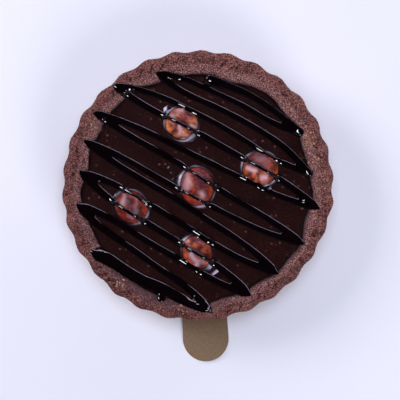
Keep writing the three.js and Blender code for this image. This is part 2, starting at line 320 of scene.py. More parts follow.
def streak(x, y, line, half_width, ragged=1):
    """A soft stroke along a line through points, seen from above."""
    away = np.minimum.reduce([from_segment(x, y, a, b)[1] for a, b in zip(line, line[1:])])
    return bell(away / half_width * ragged)


# ---- meshes

def add_object(name, data):
    thing = bpy.data.objects.new(name, data)
    bpy.context.scene.collection.objects.link(thing)
    return thing


def add_mesh(name, points, faces, material):
    mesh = bpy.data.meshes.new(name)
    mesh.from_pydata(points, [], faces)
    mesh.materials.append(material)
    return add_object(name, mesh)


def make_piece(name, points, faces, material, slot, replaced=(), values=None):
    """A smooth mesh from points in millimetres, riding on the part, with named values per point."""
    placed = (points + (0, 0, TART_BASE)) * MM
    piece = add_mesh(name, placed.tolist(), faces, material)
    mesh = piece.data
    mesh.validate()
    mesh.shade_smooth()
    for key, data in (values or {}).items():
        attribute = mesh.attributes.new(key, "FLOAT", "POINT")
        attribute.data.foreach_set("value", np.asarray(data, np.float32).ravel())
    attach(piece, BODY)
    if replaced:
        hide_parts(*replaced)


def ring_faces(rows, steps):
    """Quads between equal closed rings of points, each ring turning anticlockwise."""
    row, i = np.meshgrid(np.arange(rows - 1), np.arange(steps), indexing="ij")
    here, there, after = row * steps, (row + 1) * steps, (i + 1) % steps
    return np.stack([here + i, here + after, there + after, there + i], -1).reshape(-1, 4)


def closed_skin(rings):
    """Points and faces of a skin through rings (rows, steps, 3), closed over both ends."""
    rows, steps = rings.shape[:2]
    points = np.concatenate([rings.reshape(-1, 3), rings[:1].mean(1), rings[-1:].mean(1)])
    first, last, end = rows * steps, rows * steps + 1, (rows - 1) * steps
    faces = ring_faces(rows, steps).tolist()
    faces += [[first, (i + 1) % steps, i] for i in range(steps)]
    faces += [[last, end + i, end + (i + 1) % steps] for i in range(steps)]
    return points, faces


def ring_normals(rings):
    """Outward normals of a grid of rings."""
    around = np.roll(rings, -1, 1) - np.roll(rings, 1, 1)
    up = np.gradient(rings, axis=0)
    normals = np.cross(around, up)
    return normals / np.maximum(np.linalg.norm(normals, axis=-1, keepdims=True), 1e-9)


def ball(detail):
    """Points and triangles of a ball of radius 1."""
    form = bmesh.new()
    bmesh.ops.create_icosphere(form, subdivisions=detail, radius=1)
    points = np.array([v.co for v in form.verts])
    faces = [[v.index for v in f.verts] for f in form.faces]
    form.free()
    return points, faces


def joined(bodies, triangles):
    """Points and faces of many bodies that have the same triangles."""
    step = len(bodies[0])
    faces = [[i + step * n for i in face] for n in range(len(bodies)) for face in triangles]
    return np.concatenate(bodies), faces


# ---- materials

class Look:
    """A node material, with a method for each kind of node. Sizes are in millimetres."""

    def __init__(self, name):
        self.material = bpy.data.materials.new(name)
        self.material.use_nodes = True
        self.nodes = self.material.node_tree.nodes

    def feed(self, node, inputs):
        """Gives a node's inputs their values: a number, a colour, or another node's output."""
        for key, value in inputs.items():
            socket = node.inputs[key]
            if isinstance(value, bpy.types.NodeSocket):
                self.material.node_tree.links.new(value, socket)
            else:
                socket.default_value = (*value, 1) if socket.type == "RGBA" else value

    def node(self, kind, inputs=None, **settings):
        node = self.nodes.new("ShaderNode" + kind)
        for key, value in settings.items():
            setattr(node, key, value)
        self.feed(node, inputs or {})
        return node

    def place(self):
        return self.node("TexCoord").outputs["Object"]

    def noise(self, size, detail=3, stretch=(1, 1, 1), turn=0):
        """Noise in the object's own coordinates with lumps of a size, turned by degrees."""
        turning = (0, 0, -math.radians(turn))
        scaled = self.node("Mapping", {"Vector": self.place(), "Rotation": turning, "Scale": stretch})
        lumps = {"Vector": scaled.outputs[0], "Scale": 1 / (size * MM), "Detail": detail}
        return self.node("TexNoise", lumps).outputs["Fac"]

    def ramp(self, source, stops):
        """A colour ramp from stops of place and colour."""
        ramp = self.node("ValToRGB", {"Fac": source})
        elements = ramp.color_ramp.elements
        while len(elements) < len(stops):
            elements.new(0.5)
        for element, (place, colour) in zip(elements, stops.items()):
            element.position = place
            element.color = (*colour, 1)
        return ramp.outputs["Color"]

    def mix(self, factor, a, b, blend="MIX"):
        colours = {0: factor, 6: a, 7: b}
        return self.node("Mix", colours, data_type="RGBA", blend_type=blend).outputs[2]

    def math(self, operation, a, b=0.0):
        return self.node("Math", {0: a, 1: b}, operation=operation).outputs[0]

    def range(self, source, low, high, to_low=0.0, to_high=1.0):
        ends = {"From Min": low, "From Max": high, "To Min": to_low, "To Max": to_high}
        inputs = {"Value": source, **ends}
        return self.node("MapRange", inputs, interpolation_type="SMOOTHSTEP").outputs["Result"]

    def value(self, key):
        """A mesh's own value per point."""
        return self.node("Attribute", attribute_name=key).outputs["Fac"]

    def specks(self, size, reach, channel, draws, strength):
        """Some of a scatter of spots. reach: the distances where a spot starts and is full. draws:
        the random draws, from a colour channel, where spots start to show and show in full."""
        spots = self.node("TexVoronoi", {"Vector": self.place(), "Scale": 1 / (size * MM)}).outputs
        draw = self.node("SeparateColor", {0: spots["Color"]}).outputs[channel]
        near, chosen = self.range(spots["Distance"], *reach), self.range(draw, *draws)
        return self.math("MULTIPLY", self.math("MULTIPLY", near, chosen), strength)

    def bump(self, height, distance, strength=1.0):
        inputs = {"Distance": distance * MM, "Strength": strength, "Height": height}
        return self.node("Bump", inputs).outputs["Normal"]

    def shade(self, inputs):
        """The finished material, with inputs given to its shader."""
        self.feed(self.nodes["Principled BSDF"], inputs)
        return self.material


CRUST_SLOPE_COLOUR = (0.222, 0.099, 0.089)
CRUST_PIT_SHADE_COLOUR = (0.024, 0.006, 0.006)
CRUST_FLECK_COLOUR = (0.36, 0.17, 0.09)
CRUST_FILM_COLOUR = (0.045, 0.023, 0.029)
CRUST_ROUGHNESS = 0.7
FILM_SMOOTHS = -0.3  # what the film of chocolate adds to the roughness
WALL_GRIT = 0.5  # how strong the grit is on the wall, against the rim
WALL_TOP = (7, 3)  # millimetres below the rim where the grit starts to grow and is full


def crust_material():
    look = Look("cocoa_crust")
    tone = look.ramp(look.noise(6), {0.3: (0.131, 0.0465, 0.0405), 0.7: (0.19, 0.0735, 0.062)})
    smooth = look.mix(look.value("slope"), tone, CRUST_SLOPE_COLOUR)
    # painted shade in the crumb's hollows and painted light on its crests, from the high value
    relief_shade_stops = {0.15: (0.58, 0.43, 0.41), 0.5: (0.98, 0.96, 0.96), 0.85: (1.27, 1.31, 1.28)}
    relief_shaded = look.mix(1.0, smooth, look.ramp(look.value("high"), relief_shade_stops), "MULTIPLY")
    grit = look.noise(0.42, 2)
    shades = {0.36: (0.13, 0.05, 0.05), 0.5: (0.92, 0.89, 0.88), 0.64: (2.2, 2.4, 2.25)}
    height = look.node("SeparateXYZ", {0: look.place()}).outputs["Z"]
    low, high = ((TART_BASE + TART_HEIGHT) * MM - below * MM for below in WALL_TOP)
    coarse = look.range(height, low, high, WALL_GRIT, 1)
    gritty = look.mix(coarse, relief_shaded, look.ramp(grit, shades), "MULTIPLY")
    # painted shade in the pits and cracks
    pit_shaded = look.mix(look.value("pit"), gritty, CRUST_PIT_SHADE_COLOUR)
    flecks = look.specks(0.8, (0.45, 0.25), 0, (0.88, 0.92), 0.6)
    flecked = look.mix(flecks, pit_shaded, CRUST_FLECK_COLOUR)
    film = look.value("film")
    smoother = look.math("MULTIPLY", film, FILM_SMOOTHS)
    return look.shade({
        "Base Color": look.mix(film, flecked, CRUST_FILM_COLOUR),
        "Roughness": look.math("ADD", smoother, CRUST_ROUGHNESS),
        "Specular IOR Level": 0.12,
        "Normal": look.bump(grit, 0.7),
    })


# Painted shade along the filling's edge, where it meets the crust.
FILLING_EDGE_SHADE_COLOUR = (0.0035, 0.0014, 0.0016)
SPECK_COLOUR = (0.13, 0.05, 0.034)
FINE_SPECK_COLOUR = (0.07, 0.025, 0.02)


def filling_material():
    look = Look("dark_ganache")
    tone = look.ramp(look.noise(9), {0.3: (0.0098, 0.0021, 0.0017), 0.7: (0.0172, 0.0038, 0.003)})
    fine = look.mix(look.specks(0.8, (0.35, 0.15), 2, (0.55, 1), 0.5), tone, FINE_SPECK_COLOUR)
    specked = look.mix(look.specks(2.1, (0.27, 0.1), 1, (0.3, 0.95), 0.8), fine, SPECK_COLOUR)
    return look.shade({
        "Base Color": look.mix(look.value("edge"), specked, FILLING_EDGE_SHADE_COLOUR),
        "Roughness": 0.28,
        "Specular IOR Level": 0.12,
        "Normal": look.bump(look.noise(2.4, 2), 0.1, 0.5),
    })


def drizzle_material():
    look = Look("chocolate_drizzle")
    shades = {0.3: (0.0012, 0.0003, 0.0006), 0.7: (0.0028, 0.0007, 0.0012)}
    return look.shade({
        "Base Color": look.ramp(look.noise(5, 2), shades),
        "Roughness": 0.045,
        "IOR": 1.5,
        "Normal": look.bump(look.noise(2.2, 1), 0.1, 0.3),
    })


NUT_SHADE_COLOUR = (0.066, 0.018, 0.026)
NUT_FOLD_SHADE_COLOUR = (0.03, 0.006, 0.005)
NUT_GRAIN = 0.7  # how strong the fine grain of a kernel's skin is
STREAK_STRETCH = (0.35, 1, 1)  # the skin's streaks run along the kernel


def nut_material(name, turn, painted_glow_colour, painted_sheen):
    look = Look(name)
    streaks = look.noise(2.2, 4, STREAK_STRETCH, turn)
    browns = {0.42: (0.026, 0.003, 0.004), 0.5: (0.115, 0.013, 0.0115), 0.58: (0.28, 0.044, 0.026)}
    # painted light: the glow in the skin
    light = look.mix(look.value("painted_glow"), look.ramp(streaks, browns), painted_glow_colour)
    # painted shade in bands on the skin
    band_shaded = look.mix(look.value("painted_shade"), light, NUT_SHADE_COLOUR)
    grain = look.ramp(look.noise(0.9), {0.35: (0.45, 0.4, 0.4), 0.65: (1.45, 1.5, 1.5)})
    grained = look.mix(NUT_GRAIN, band_shaded, grain, "MULTIPLY")
    # painted reflection of the soft lamps in the glaze
    sheened = look.mix(look.value("painted_sheen"), grained, painted_sheen)
    # the folds and the kernel's foot are darkened with painted shade
    return look.shade({
        "Base Color": look.mix(look.value("fold_shade"), sheened, NUT_FOLD_SHADE_COLOUR),
        "Roughness": 0.45,
        "Specular IOR Level": 0.15,
        "Coat Weight": 0.11,
        "Coat Roughness": 0.3,
        "Normal": look.bump(streaks, 0.1, 0.25),
    })


GLEAM_COLOUR = (0.62, 0.51, 0.61)


def glaze_material():
    """Clear glaze over the dark filling: nearly black but for soft reflections and painted reflections
    of the lamps.
    """
    look = Look("clear_glaze")
    clear = look.ramp(look.noise(2.5, 1), {0.35: (0.006, 0.003, 0.004), 0.7: (0.02, 0.011, 0.016)})
    return look.shade({
        "Base Color": look.mix(look.value("painted_gleam"), clear, GLEAM_COLOUR),
        "Roughness": 0.4,
        "Specular IOR Level": 0.1,
        "Coat Weight": 0.15,
        "Coat Roughness": 0.1,
    })


def crumb_material(name, dark, pale):
    look = Look(name)
    return look.shade({
        "Base Color": look.ramp(look.noise(1.3, 2), {0.35: dark, 0.65: pale}),
        "Roughness": 0.7,
        "Normal": look.bump(look.noise(0.2, 2), 0.05, 0.6),
    })


FOIL_STRETCH = (1, 0.25, 1)
BOARD_STRETCH = (1, 1, 6)


def gold_card_material():
    """Satin gold foil on the faces of the card and pale board on its cut edge."""
    look = Look("gold_card")
    golds = {0.32: (0.285, 0.189, 0.105), 0.68: (0.376, 0.255, 0.146)}
    greys = {0.3: (0.2, 0.15, 0.11), 0.7: (0.27, 0.21, 0.16)}
    foil = look.ramp(look.noise(0.25, 2, FOIL_STRETCH), golds)
    board = look.ramp(look.noise(0.3, 2, BOARD_STRETCH), greys)
    normal = look.node("NewGeometry").outputs["True Normal"]
    level = look.math("ABSOLUTE", look.node("SeparateXYZ", {0: normal}).outputs["Z"])
    face = look.range(level, 0.4, 0.6)
    return look.shade({
        "Base Color": look.mix(face, board, foil),
        "Metallic": look.math("MULTIPLY", face, 0.55),
        "Roughness": 0.42,
        "Normal": look.bump(look.noise(0.4), 0.03, 0.5),
    })


# ---- crust

CRUST_STEPS = FLUTES * 34
WALL_ROWS = 44
RIM_ROWS = 34
BEVEL_ROWS = (0, 0.3, 0.6)  # how far round the bevel they are
INSIDE_ROWS = 3


def crust_rings():
    """Rings from the underside up the wall, over the rim and down inside, and each row's place:
    -1 to 0 up the wall, 1 at the lip, 2 at the filling's edge and 3 under the filling."""
    angle = full_turn(CRUST_STEPS)
    lip, base, edge = lip_radius_at(angle), base_radius_at(angle), edge_radius_at(angle)
    lip_level = TART_HEIGHT - RIM_SECTION[-1][1]
    rows = []
    for t in BEVEL_ROWS:
        turn = t * math.pi / 2
        rows.append((base - BEVEL * (1 - math.sin(turn)), BEVEL * (1 - math.cos(turn)), -1.0))
    for t in np.linspace(0, 1, WALL_ROWS, endpoint=False):
        rows.append((mix(base, lip, t), mix(BEVEL, lip_level, t), -1 + t))
    for share in np.linspace(1, 0, RIM_ROWS):
        rows.append((mix(edge, lip, share), TART_HEIGHT - rim_drop(share), 2 - share))
    for t in np.linspace(0, 1, INSIDE_ROWS + 1)[1:]:
        rows.append((mix(edge, FLOOR_RADIUS, t), mix(FILLING_LEVEL, FLOOR_LEVEL, t), 3.0))
    rings = np.array([on_ring(radius, angle, level) for radius, level, _ in rows])
    return rings, np.array([place for _, _, place in rows])


# Cracks of the rim, seen from above: degrees and distance from the middle at both ends.
RIM_CRACKS = [
    (83, 45.6, 82.8, 47.8), (79.6, 44.4, 76.8, 47.5), (75.2, 44.1, 73.4, 45.3), (72, 45.2, 71, 47),
    (70.8, 44.2, 70.2, 45), (58.8, 44.3, 58.6, 45.6), (108, 45, 104.5, 47.4), (113, 44.6, 111, 47.2),
    (118, 45.6, 115.6, 47.3), (124, 44.8, 121.8, 46.6), (133.6, 45, 132, 46.6), (20, 44.6, 17.5, 46.2),
    (15, 45.2, 12.6, 46.8), (221, 45.6, 219.4, 47.2), (300, 46, 298, 47.2), (338, 45.4, 336.4, 47),
]
CRACK_HALF_WIDTH = 0.3

# Film of chocolate that climbs the rim's inner side: reach as a share of the rim's width, how much
# further it reaches in the middle of its widest stretch, and that stretch in degrees.
FILM_REACH = 0.15
FILM_MORE = 0.12
FILM_MIDDLE = -28
FILM_SPREAD = 48

# Painted light: the crust is painted paler on the side towards the light and darker on the far side:
# that side in degrees, and how much paler.
PAINTED_LIGHT_SIDE = 72
PAINTED_LIGHT = 0.1

# Where chocolate has smeared the rim's inner side: middle and spread in degrees, how much of it
# covers the crumb, and the shares of the rim's width where it starts to fade and ends.
SMEAR_MIDDLE = 244
SMEAR_SPREAD = 46
SMEAR = 0.74
SMEAR_FADE = (0.25, 0.7)

# Heights and depths of the crumb's relief.
CRUMB_HEIGHT = 0.2
FINE_HEIGHT = 0.2
GRIT_HEIGHT = 0.12
KNOB_HEIGHT = 0.2
PIT_DEPTH = 0.14
CRACK_DEPTH = 0.34
LUMP_HEIGHT = 0.18
GRAIN_REACH = 0.9  # a grain's radius against the distance between grains
LOW_WALL = (14, 6)  # heights between which the painted shade in the wall's pits and cracks fades

# Where the crumb starts above the bevel, where it gives way to the smooth slope inside the rim and
# where that ends, as the places that crust_rings returns.
WALL_STARTS = (-1, -0.93)
SLOPE_STARTS = (1.45, 1.62)
SLOPE_ENDS = (1.94, 2.02)


def crust_cracks(points):
    """How deep in a crack each point is: a web of fine cracks, and the ones that the rim shows."""
    x, y = points[..., 0], points[..., 1]
    angle, radius = np.arctan2(y, x), np.hypot(x, y)
    spoke = np.stack([angle * LIP_RADIUS, radius / 5, points[..., 2] / 5], -1)
    crack = smoothstep(0.07, 0, np.abs(smooth_noise(spoke, size=1.7, seed=51)))
    crack = crack * smoothstep(0.1, 0.5, smooth_noise(points, size=6.5, seed=61))
    small = smoothstep(0.09, 0, np.abs(smooth_noise(spoke * 1.9, size=1.7, seed=55)))
    small = small * 0.6 * smoothstep(0, 0.5, smooth_noise(points, size=3.5, seed=67))
    crack = np.maximum(crack, small)
    for degrees_in, radius_in, degrees_out, radius_out in RIM_CRACKS:
        ends = on_ring((radius_in, radius_out), np.radians([degrees_in, degrees_out]), 0)
        crack = np.maximum(crack, streak(x, y, ends, CRACK_HALF_WIDTH))
    return crack


def domes(points, size, seed):
    """Heights from 0 to 1 of a scatter of domes, and each one's draw."""
    near, draw = grains(points, size, seed)
    return 1 - np.clip(near / GRAIN_REACH, 0, 1)**2, draw


def crust_relief(points, outer, slope):
    """Height of the crumb, the painted shade of its pits and cracks, and how high each point stands
    against its neighbours, which sets painted shade in hollows and painted light on crests. outer
    and slope are weights."""
    crumb, draw = domes(points, size=1.25, seed=11)
    fine, fine_draw = domes(points, size=0.75, seed=15)
    fine = fine * (0.4 + fine_draw)
    holes, hole_draw = grains(points, size=1.7, seed=21)
    pit = smoothstep(0.4, 0.14, holes) * smoothstep(0.2, 0.6, hole_draw)
    grit = rough_noise(points, size=1.1, seed=31, octaves=2)
    lumps = rough_noise(points, size=5.5, seed=41, octaves=2)
    knobs = rough_noise(points, size=2.4, seed=45, octaves=2)
    crack = crust_cracks(points)
    rough = CRUMB_HEIGHT * (crumb - 0.5) * (0.4 + draw) + FINE_HEIGHT * (fine - 0.4)
    rough = rough + GRIT_HEIGHT * grit
    rough = rough + KNOB_HEIGHT * knobs - PIT_DEPTH * pit - CRACK_DEPTH * crack
    smooth = 0.1 * grit + 0.1 * (crumb - 0.4) + 0.05 * (fine - 0.4)
    height = outer * rough + slope * smooth + LUMP_HEIGHT * lumps * (outer + slope)
    # painted shade in the pits and cracks, fading low on the wall, and painted shade and light by
    # height
    low_wall = smoothstep(*LOW_WALL, points[..., 2])
    pit_shade = np.clip(outer * (0.45 * pit + 0.85 * crack) * (1 - 0.8 * low_wall), 0, 1)
    high = np.clip(0.5 + 2 * (outer * rough + 1.5 * slope * smooth), 0, 1)
    return height, pit_shade, high


def chocolate_film(rings, angle, place):
    """Where chocolate covers the rim's inner side, as a film from the filling and as a smear."""
    reach = FILM_REACH + FILM_MORE * sector(angle, FILM_MIDDLE, FILM_SPREAD)
    reach = reach * (1 + 0.3 * smooth_noise(rings, size=3, seed=65))
    share = np.where(place >= 1, 2 - place, 1)[:, None]
    smear = SMEAR * sector(angle, SMEAR_MIDDLE, SMEAR_SPREAD)
    smear = smear * (1 + 0.3 * smooth_noise(rings, size=2.5, seed=66))
    smear = smear * smoothstep(*SMEAR_FADE[::-1], share)
    film = np.where(share >= -0.1, smoothstep(reach, 0, np.maximum(share, 0)), 0)
    return np.maximum(film, smear)


def make_crust():
    rings, place = crust_rings()
    normals = ring_normals(rings)
    wall = smoothstep(*WALL_STARTS, place) * (place < 1)
    outer = wall + (place >= 1) * smoothstep(*SLOPE_STARTS[::-1], place)
    slope = smoothstep(*SLOPE_STARTS, place) * smoothstep(*SLOPE_ENDS[::-1], place)
    outer, slope = (np.repeat(w[:, None], rings.shape[1], 1) for w in (outer, slope))
    height, pit, high = crust_relief(rings, outer, slope)
    angle = np.arctan2(rings[..., 1], rings[..., 0])
    # painted light: the high value is raised on the side towards the light and lowered on the far side
    high = high + PAINTED_LIGHT * (np.cos(angle - math.radians(PAINTED_LIGHT_SIDE)) + 0.3)
    film = chocolate_film(rings, angle, place)
    near_lip = 1 - 0.6 * smoothstep(0.75, 0.95, place) * smoothstep(1.3, 1.1, place)
    rings = rings + normals * (height * near_lip[:, None])[..., None]
    points, faces = closed_skin(rings)
    # pit: painted shade in pits and cracks; high: painted shade in hollows and painted light on crests
    looks = {"pit": (pit, 0), "slope": (slope, 0), "high": (high, 0.5), "film": (film, 0)}
    values = {key: np.append(data, [at_end] * 2) for key, (data, at_end) in looks.items()}
    make_piece("crust_crumb", points, faces, crust_material(), "cocoa_crust", ["crust"], values)


# ---- filling

FILLING_STEPS = 640
FILLING_ROWS = 96
SWELL_HEIGHT = 0.07
BUBBLE_HEIGHT = 0.07
EDGE_RISE = 0.34  # how far the filling climbs the crust
EDGE_RISE_REACH = 0.6
EDGE_OVERLAP = 0.3  # how far its edge goes into the crust
EDGE_WOBBLE = 0.22


def from_edge(x, y):
    """How far in from the crust a place is."""
    return edge_radius_at(np.arctan2(y, x)) - np.hypot(x, y)


def filling_height(x, y):
    flat = np.stack([x, y, np.zeros_like(x)], -1)
    swell = SWELL_HEIGHT * rough_noise(flat, size=11, seed=71, octaves=2)
    near, draw = grains(flat, size=2.3, seed=81)
    bubble = BUBBLE_HEIGHT * smoothstep(0.2, 0.05, near) * smoothstep(0.6, 0.9, draw)
    from_end = np.clip(from_edge(x, y) + EDGE_OVERLAP, 0, None)
    rise = EDGE_RISE * np.exp(-from_end / EDGE_RISE_REACH)
    rise = rise * (0.75 + 0.5 * smooth_noise(flat, size=2.6, seed=95))
    return FILLING_LEVEL + swell + bubble + rise


def make_filling():
    angle = full_turn(FILLING_STEPS)
    edge = edge_radius_at(angle)
    wobble = EDGE_WOBBLE * smooth_noise(on_ring(30, angle, 0), size=1.7, seed=91)
    reach = edge + EDGE_OVERLAP + wobble
    rings = [
        on_ring(FLOOR_RADIUS - GAP, angle, FLOOR_LEVEL + GAP),
        on_ring(edge - GAP, angle, FILLING_LEVEL - 1),
    ]
    for t in np.linspace(1, 0.02, FILLING_ROWS) ** 0.8:
        x, y = t * reach * np.cos(angle), t * reach * np.sin(angle)
        rings.append(np.stack([x, y, filling_height(x, y)], -1))
    points, faces = closed_skin(np.array(rings))
    ragged = 0.5 + 0.5 * smooth_noise(points * (1, 1, 0), size=2.2, seed=97)
    # edge: painted shade along the filling's ragged edge at the crust
    values = {"edge": 0.85 * smoothstep(0.6 + 1.1 * ragged, 0.1, from_edge(*points.T[:2]))}
    material = filling_material()
    make_piece("filling_ganache", points, faces, material, "dark_ganache", ["filling"], values)


# ---- hazelnuts

NUT_DETAIL = 6
NUT_WRINKLE = 0.007
NUT_LOBE = 0.02
CREASE_HALF_WIDTH = 0.25  # against the kernel's half width

# Folds of a kernel's skin, cut into it and darkened with painted shade, seen from above: points from
# its centre, half width and depth.
NUT_FOLDS = {
    "nut_1": [
        ([(-1.6, -0.4), (-2.4, -2.2), (-3.9, -4.3)], 0.45, 0.5),
        ([(-6, -2.9), (-3.9, -4.3), (-1.5, -5.6), (1.6, -5.2)], 0.4, 0.4),
        ([(-4.6, 3.4), (-1.8, 4.6), (1.6, 3.9)], 0.45, 0.12),
    ],
    "nut_2": [([(1.2, 5.6), (3.4, 3.6), (5.3, 0.6)], 0.3, 0.25)],
    "nut_3": [
        ([(2.4, 4.6), (4.6, 2.6), (5.7, -0.4)], 0.3, 0.25), ([(-1.5, -2), (-0.6, -5.4)], 0.45, 0.3),
    ],
    "nut_4": [([(-0.5, 5.2), (2.4, 3.8), (4.6, 1)], 0.3, 0.25)],
    "nut_5": [
        ([(-3.8, 3.6), (-0.6, 3.4), (2.9, 0.6)], 0.35, 0.12), ([(-1.9, -1), (0.4, -4.4)], 0.6, 0.15),
    ],
}

# Colours of each kernel's painted light: the glow painted into its skin, and its painted sheen.
NUT_COLOURS = {
    "nut_1": ((0.84, 0.27, 0.095), (0.7, 0.37, 0.38)),
    "nut_2": ((0.56, 0.07, 0.026), (0.66, 0.31, 0.29)),
    "nut_3": ((0.68, 0.135, 0.02), (0.74, 0.37, 0.37)),
    "nut_4": ((0.47, 0.054, 0.021), (0.53, 0.26, 0.27)),
    "nut_5": ((0.72, 0.13, 0.036), (0.6, 0.37, 0.41)),
}

# Painted light glowing in a kernel's skin, seen from above: place from its centre, radius, strength.
NUT_PAINTED_GLOWS = {
    "nut_1": [
        (-4.7, -2, 1.3, 1), (0.9, -3, 1.1, 0.8), (-2.3, -5, 1.3, 0.9), (4.6, 0.8, 1.2, 0.5),
        (-2.3, 3.8, 1.3, 0.4), (0.8, -5.2, 1.2, 0.7), (-5.3, 0.2, 1.2, 0.7), (2.9, 0.4, 1.1, 0.3),
    ],
    "nut_2": [
        (5.3, -0.9, 1.3, 0.9), (4.6, -3.2, 1, 0.7), (-3.4, -4.3, 1.6, 0.6), (-0.3, -5.8, 1.4, 0.5),
        (-1.6, -0.8, 1, 0.4), (-3.2, 5, 1.2, 0.35),
    ],
    "nut_3": [
        (-2.4, -2.4, 1, 1), (0.1, -2.3, 0.9, 0.8), (-5.3, -1.3, 1, 0.7), (6, -1.9, 1.1, 0.7),
        (1.5, -5, 1.6, 0.7), (-1.6, -4.6, 0.9, 0.8), (3.5, 2.5, 2, 0.25),
        (1.8, -2.1, 0.9, 0.7), (-0.6, -3.7, 0.8, 0.7),
    ],
    "nut_4": [
        (5.2, -1.5, 1.1, 0.8), (1.5, 2.2, 1.4, 0.35), (-2.2, -3.6, 1.5, 0.55), (0.8, -5.2, 1.2, 0.6),
        (4.2, 1.3, 1, 0.6),
    ],
    "nut_5": [
        (-4, -1, 1.1, 1), (-3.1, -4.1, 1.2, 0.8), (-3.8, 4.1, 1, 1), (-0.8, 2.7, 1, 0.6),
        (2.5, 0.9, 1, 0.6), (3.9, -4, 1, 0.9), (4.3, 2.2, 1, 0.5),
    ],
}

# Painted shade in bands on a kernel's skin, seen from above: points from its centre, half width,
# strength.
NUT_PAINTED_SHADE = {
    "nut_1": [([(2, 5.2), (3.8, 4.4)], 0.8, 0.5), ([(1.6, 1.9), (0.2, 0.8)], 0.7, 0.6)],
    "nut_2": [
        ([(1, 2.6), (1.2, 1), (1.8, -0.9)], 1.3, 0.9), ([(0.9, 5.6), (2.8, 4.8), (3.9, 2.4)], 1, 0.7),
        ([(-0.7, 2.8), (-0.5, -1.2)], 0.7, 0.5),
        ([(-5.9, 0.6), (-5.6, -2.4)], 0.5, 0.5),
    ],
    "nut_3": [
        ([(-4.6, 3.2), (-2.4, 5), (1, 5.4)], 1, 0.7), ([(2.2, 3.8), (4.6, 2)], 0.8, 0.5),
        ([(-3.6, 3.2), (-1.4, 2)], 0.7, 0.5), ([(1, -0.4), (3.4, -1.2)], 0.8, 0.5),
        ([(-4, -2), (-3.2, -4.4)], 0.5, 0.8), ([(-1, -2.8), (-0.9, -5.2)], 0.4, 0.8),
    ],
    "nut_4": [
        ([(-0.8, 3), (-0.8, 0.6), (0.4, -0.6)], 0.9, 0.8), ([(1, -1.2), (2.6, -1.6)], 0.8, 0.5),
    ],
    "nut_5": [
        ([(-1.8, 5.2), (1.8, 4.4)], 0.9, 0.6), ([(-0.4, 0.6), (1.6, -0.9)], 0.8, 0.6),
        ([(0.8, -2.4), (2.4, -2.6)], 0.7, 0.5),
    ],
}

# Painted reflections of the soft lamps in a kernel's glaze, seen from above: points from its centre,
# half width, strength.
NUT_PAINTED_SHEEN = {
    "nut_1": [
        ([(-0.8, -0.7), (-0.5, -2.3), (-0.6, -3.8)], 0.8, 1), ([(-1.2, 5), (0.2, 4.9)], 0.8, 0.8),
        ([(-4.2, 3.8), (-3.4, 2.9)], 0.9, 0.7), ([(3.7, -0.8), (5, -1.2)], 0.8, 0.9),
        ([(0.2, -5.6), (2.2, -4.6)], 0.6, 0.5),
    ],
    "nut_2": [
        ([(-3.5, 4), (-3.6, 1.5), (-3.7, -0.6)], 1.15, 0.85), ([(1.6, -2.6), (2.2, -3.4)], 1.1, 0.8),
        ([(-5, 2), (-5, -0.5)], 0.7, 0.25),
    ],
    "nut_3": [
        ([(-4.9, 0.2), (-3.6, -0.6), (-2.2, -0.9)], 0.85, 1.2), ([(0.8, -3.6), (2, -3.5)], 1, 1.25),
        ([(-1.4, 3.6), (0.6, 3), (1.7, 2)], 1.5, 0.22),
        ([(1.8, -1.2), (3, -1.6)], 0.8, 0.4),
    ],
    "nut_4": [
        ([(-2.4, 4), (-2.9, 2.4), (-3.2, 1.6)], 0.9, 0.8), ([(-0.2, -3.5), (0.5, -4.2)], 0.8, 0.5),
        ([(1.7, 0.2), (1.8, -1.8)], 0.9, 0.35), ([(2, 2.5), (2.3, 1.2)], 0.6, 0.35),
    ],
    "nut_5": [
        ([(-2.2, -0.6), (-1.4, -2), (0.1, -3.6), (-0.4, -5)], 0.85, 1.15),
        ([(-4.2, 4.8), (-3.2, 4.2)], 0.7, 0.7), ([(2, -3.6), (2.5, -3.9)], 0.7, 0.5),
    ],
}


